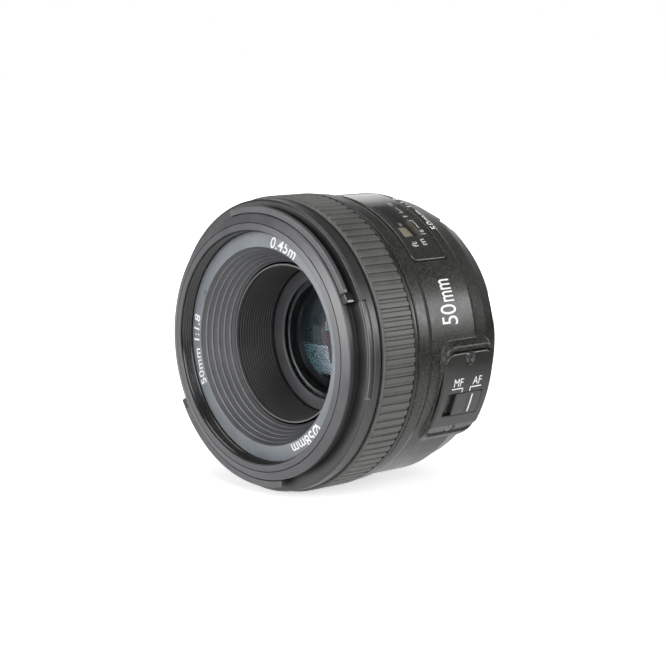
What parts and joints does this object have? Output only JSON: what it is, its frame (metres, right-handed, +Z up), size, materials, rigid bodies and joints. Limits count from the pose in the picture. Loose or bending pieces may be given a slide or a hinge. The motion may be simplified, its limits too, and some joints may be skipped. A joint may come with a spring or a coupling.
{
  "type": "prime camera lens",
  "caption": "Autofocus prime lens with a ribbed focus ring, distance window, mode switch, iris and a bayonet mount that fits a single-lens reflex camera.",
  "frame": {"origin": "centre of the mounting flange's rear face, on the optical axis", "axes": "+Y runs along the optical axis towards the camera, the front glass faces -Y; +Z is up as the lens lies on its side; +X is the side of the mode switch"},
  "size_m": [0.0744, 0.0592, 0.0738],
  "materials": {
    "black_plastic": "satin, finely textured",
    "bezel_plastic": "satin",
    "name_ring_plastic": "matte, printed",
    "baffle_plastic": "matte black",
    "grip_rubber": "matte",
    "barrel_aluminium": "black anodised",
    "inner_plastic": "matte",
    "optical_glass": "coated",
    "window_plastic": "clear over black print",
    "scale_plate": "matte, printed",
    "white_paint": "gloss",
    "switch_plastic": "satin",
    "screw_steel": "blackened",
    "mount_metal": "satin chrome",
    "contact_gold": "gold plated",
    "board_green": "solder mask",
    "chip_black": "matte",
    "motor_steel": "satin",
    "gear_plastic": "natural acetal",
    "blade_steel": "matte black",
    "spring_steel": "bright",
    "roller_brass": "turned"
  },
  "bodies": {
    "barrel": {"front_ring": "bezel_plastic", "front_barrel": "inner_plastic", "name_ring": "name_ring_plastic", "front_baffle": "baffle_plastic", "guide_tube": "barrel_aluminium", "rear_casing": "black_plastic", "distance_window": "window_plastic", "index_dot": "white_paint", "switch_plate": "switch_plastic", "switch_plate_screws": "screw_steel", "switch_board": "board_green", "rear_frame": "inner_plastic", "frame_screws": "screw_steel", "mount_ring": "mount_metal", "mount_screws": "screw_steel", "rear_baffle": "inner_plastic", "contact_block": "inner_plastic", "contact_pins": "contact_gold", "circuit_board": "board_green", "circuit_chips": "chip_black", "focus_motor": "motor_steel", "motor_bracket": "inner_plastic", "lever_retaining_ring": "inner_plastic"},
    "focus_assembly": {"focus_ring": "black_plastic", "focus_grip": "grip_rubber", "focus_key": "inner_plastic", "focus_key_screws": "screw_steel", "cam_ring": "barrel_aluminium", "distance_scale": "scale_plate"},
    "optical_unit": {"inner_barrel": "inner_plastic", "front_retaining_ring": "inner_plastic", "front_cell": "inner_plastic", "lens_1": "optical_glass", "lens_2": "optical_glass", "lens_3": "optical_glass", "lens_4": "optical_glass", "lens_5": "optical_glass", "lens_6": "optical_glass", "guide_rollers": "roller_brass", "iris_base": "inner_plastic", "iris_cover": "inner_plastic", "rear_cell": "barrel_aluminium", "rear_retaining_ring": "inner_plastic"},
    "iris_drive": {"iris_ring": "inner_plastic"},
    "lever_ring": {"aperture_lever": "screw_steel", "aperture_spring": "spring_steel"},
    "idler": {"idler_gear": "gear_plastic"},
    "pinion": {"motor_pinion": "gear_plastic"},
    "mode_switch": {"switch_knob": "switch_plastic"},
    "blade_1": {"iris_blade_1": "blade_steel"},
    "blade_2": {"iris_blade_2": "blade_steel"},
    "blade_3": {"iris_blade_3": "blade_steel"},
    "blade_4": {"iris_blade_4": "blade_steel"},
    "blade_5": {"iris_blade_5": "blade_steel"},
    "blade_6": {"iris_blade_6": "blade_steel"},
    "blade_7": {"iris_blade_7": "blade_steel"}
  },
  "joints": [
    {"name": "focus_turn", "type": "hinge", "parent": "barrel", "child": "focus_assembly", "pos_m": [0, -0.0395, 0], "axis": [0, 1, 0], "range_deg": [0, 100]},
    {"name": "focus_slide", "type": "slide", "parent": "barrel", "child": "optical_unit", "axis": [0, -1, 0], "range_m": [0, 0.0075]},
    {"name": "lever_turn", "type": "hinge", "parent": "barrel", "child": "lever_ring", "pos_m": [0, -0.0089, 0], "axis": [0, -1, 0], "range_deg": [0, 30], "stiffness_Nm_per_rad": 0.006, "springref_deg": -17.19, "deforming": ["aperture_spring"]},
    {"name": "iris_turn", "type": "hinge", "parent": "optical_unit", "child": "iris_drive", "pos_m": [0, -0.0123, 0], "axis": [0, -1, 0], "range_deg": [0, 30]},
    {"name": "idler_turn", "type": "hinge", "parent": "barrel", "child": "idler", "pos_m": [-0.01393, -0.0185, -0.02566], "axis": [0, 1, 0], "range_deg": [-1361, 1]},
    {"name": "pinion_turn", "type": "hinge", "parent": "barrel", "child": "pinion", "pos_m": [-0.01771, -0.0168, -0.02322], "axis": [0, 1, 0], "range_deg": [-1, 2721]},
    {"name": "mode_slide", "type": "slide", "parent": "barrel", "child": "mode_switch", "axis": [0, -1, 0], "range_m": [0, 0.0028]},
    {"name": "blade_1_turn", "type": "hinge", "parent": "optical_unit", "child": "blade_1", "pos_m": [0, -0.0136, 0.0171], "axis": [0, -1, 0], "range_deg": [0, 30.5]},
    {"name": "blade_2_turn", "type": "hinge", "parent": "optical_unit", "child": "blade_2", "pos_m": [0.01337, -0.0136, 0.01066], "axis": [0, -1, 0], "range_deg": [0, 30.5]},
    {"name": "blade_3_turn", "type": "hinge", "parent": "optical_unit", "child": "blade_3", "pos_m": [0.01667, -0.0136, -0.0038], "axis": [0, -1, 0], "range_deg": [0, 30.5]},
    {"name": "blade_4_turn", "type": "hinge", "parent": "optical_unit", "child": "blade_4", "pos_m": [0.00742, -0.0136, -0.01541], "axis": [0, -1, 0], "range_deg": [0, 30.5]},
    {"name": "blade_5_turn", "type": "hinge", "parent": "optical_unit", "child": "blade_5", "pos_m": [-0.00742, -0.0136, -0.01541], "axis": [0, -1, 0], "range_deg": [0, 30.5]},
    {"name": "blade_6_turn", "type": "hinge", "parent": "optical_unit", "child": "blade_6", "pos_m": [-0.01667, -0.0136, -0.0038], "axis": [0, -1, 0], "range_deg": [0, 30.5]},
    {"name": "blade_7_turn", "type": "hinge", "parent": "optical_unit", "child": "blade_7", "pos_m": [-0.01337, -0.0136, 0.01066], "axis": [0, -1, 0], "range_deg": [0, 30.5]}
  ],
  "couplings": [
    {"joint": "focus_slide", "follows": "focus_turn", "m_per_rad": 0.0042972},
    {"joint": "idler_turn", "follows": "focus_turn", "ratio": -13.6},
    {"joint": "pinion_turn", "follows": "focus_turn", "ratio": 27.2},
    {"joint": "iris_turn", "follows": "lever_turn", "ratio": 1},
    {"joint": "blade_1_turn", "follows": "lever_turn", "ratio": 1.0167},
    {"joint": "blade_2_turn", "follows": "lever_turn", "ratio": 1.0167},
    {"joint": "blade_3_turn", "follows": "lever_turn", "ratio": 1.0167},
    {"joint": "blade_4_turn", "follows": "lever_turn", "ratio": 1.0167},
    {"joint": "blade_5_turn", "follows": "lever_turn", "ratio": 1.0167},
    {"joint": "blade_6_turn", "follows": "lever_turn", "ratio": 1.0167},
    {"joint": "blade_7_turn", "follows": "lever_turn", "ratio": 1.0167}
  ]
}
